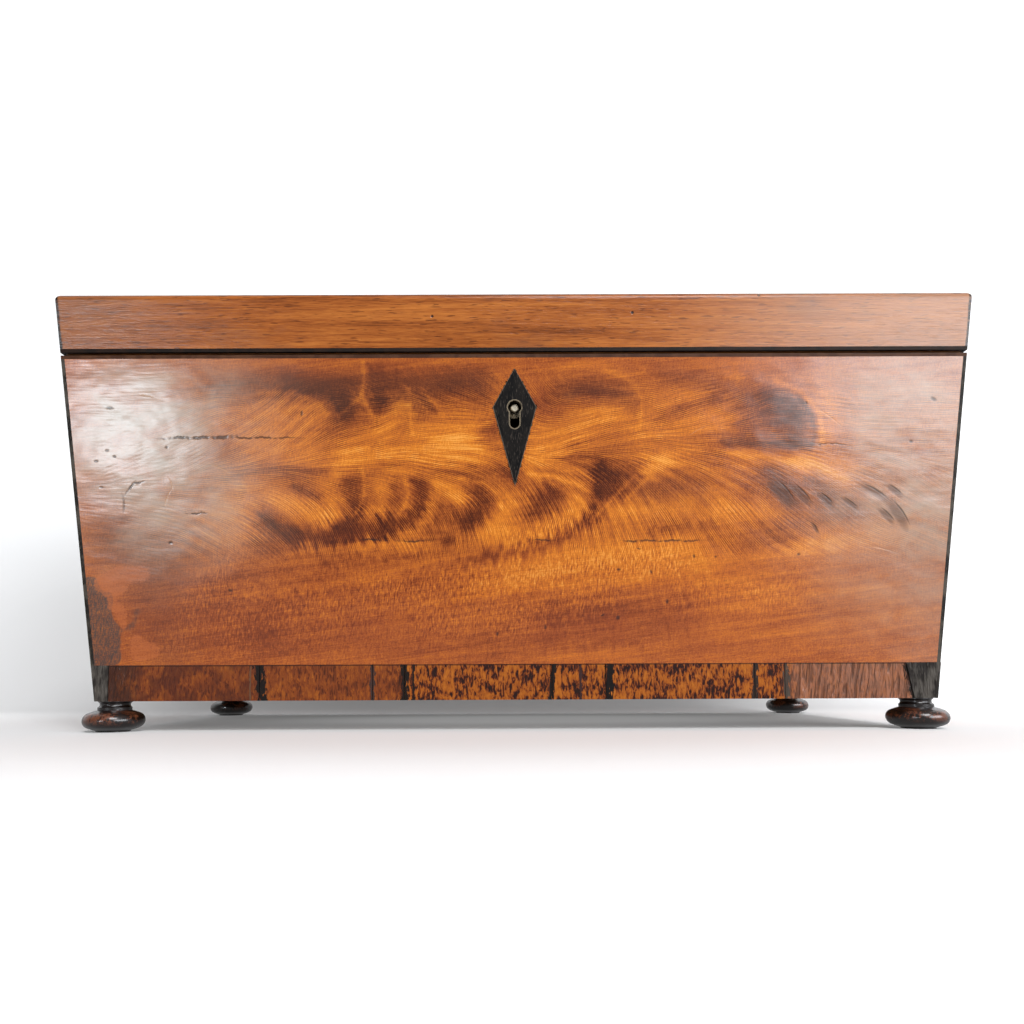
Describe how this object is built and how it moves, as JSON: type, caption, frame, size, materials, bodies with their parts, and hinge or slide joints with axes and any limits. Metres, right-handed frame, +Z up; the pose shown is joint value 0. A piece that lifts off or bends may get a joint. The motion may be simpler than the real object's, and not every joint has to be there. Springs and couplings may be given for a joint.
{
  "type": "tea caddy",
  "caption": "Sarcophagus-form wooden tea caddy with a hinged lid, box lock, bun feet, lidded tea wells and a glass mixing bowl.",
  "frame": {"origin": "on the table under the middle of the box, at the bottoms of the feet", "axes": "+X to the right along the front, -Y out of the front with the keyhole, +Z up"},
  "size_m": [0.3044, 0.1594, 0.1424],
  "materials": {
    "flame_mahogany": "old french polish",
    "mahogany": "old french polish",
    "inner_mahogany": "satin",
    "carcass_wood": "raw planed",
    "cross_banding": "old french polish",
    "ebony": "satin",
    "turned_rosewood": "gloss polish",
    "brass": "aged",
    "steel": "worn",
    "tin": "dull foil",
    "bowl_glass": "clear",
    "baize": "matt",
    "lining_paper": "matt"
  },
  "bodies": {
    "case": {"case_front_board": "carcass_wood", "case_back_board": "carcass_wood", "case_left_board": "carcass_wood", "case_right_board": "carcass_wood", "case_bottom_board": "carcass_wood", "front_veneer": "flame_mahogany", "back_veneer": "mahogany", "left_veneer": "mahogany", "right_veneer": "mahogany", "front_banding": "cross_banding", "back_banding": "cross_banding", "side_bandings": "cross_banding", "base_corner_patches": "ebony", "corner_stringing": "ebony", "case_rim_stringing": "ebony", "escutcheon": "ebony", "keyhole_liner": "brass", "foot_front_left": "turned_rosewood", "foot_front_right": "turned_rosewood", "foot_rear_left": "turned_rosewood", "foot_rear_right": "turned_rosewood", "left_divider": "inner_mahogany", "right_divider": "inner_mahogany", "left_tin_lining": "tin", "right_tin_lining": "tin", "cover_ledges": "inner_mahogany", "well_board": "inner_mahogany", "well_floor": "carcass_wood", "well_bearers": "carcass_wood", "well_baize": "baize", "lock_body": "brass", "lock_cap": "brass", "lock_pin": "steel", "lock_spring": "steel", "case_screws": "brass", "left_hinge_case_leaf": "brass", "right_hinge_case_leaf": "brass", "hinge_pins": "brass"},
    "lid": {"left_hinge_lid_leaf": "brass", "right_hinge_lid_leaf": "brass", "lid_top_board": "carcass_wood", "lid_front_rail": "inner_mahogany", "lid_back_rail": "inner_mahogany", "lid_left_rail": "inner_mahogany", "lid_right_rail": "inner_mahogany", "lid_top_veneer": "mahogany", "lid_front_veneer": "mahogany", "lid_back_veneer": "mahogany", "lid_side_veneers": "mahogany", "lid_rim_stringing": "ebony", "lid_lining_panel": "lining_paper", "link_plate": "brass", "lid_screws": "brass"},
    "lock_bolt": {"lock_bolt": "steel"},
    "left_cover": {"left_cover": "inner_mahogany", "left_cover_knob": "turned_rosewood"},
    "right_cover": {"right_cover": "inner_mahogany", "right_cover_knob": "turned_rosewood"},
    "mixing_bowl": {"mixing_bowl": "bowl_glass"}
  },
  "joints": [
    {"name": "lid_hinge", "type": "hinge", "parent": "case", "child": "lid", "pos_m": [0, 0.07573, 0.1219], "axis": [-1, 0, 0], "range_deg": [0, 98]},
    {"name": "bolt_slide", "type": "slide", "parent": "case", "child": "lock_bolt", "axis": [1, 0, 0], "range_m": [0, 0.004]},
    {"name": "left_cover_lift", "type": "slide", "parent": "case", "child": "left_cover", "axis": [0, 0, 1], "range_m": [0, 0.01]},
    {"name": "right_cover_lift", "type": "slide", "parent": "case", "child": "right_cover", "axis": [0, 0, 1], "range_m": [0, 0.01]},
    {"name": "bowl_lift", "type": "slide", "parent": "case", "child": "mixing_bowl", "axis": [0, 0, 1], "range_m": [0, 0.013]}
  ]
}
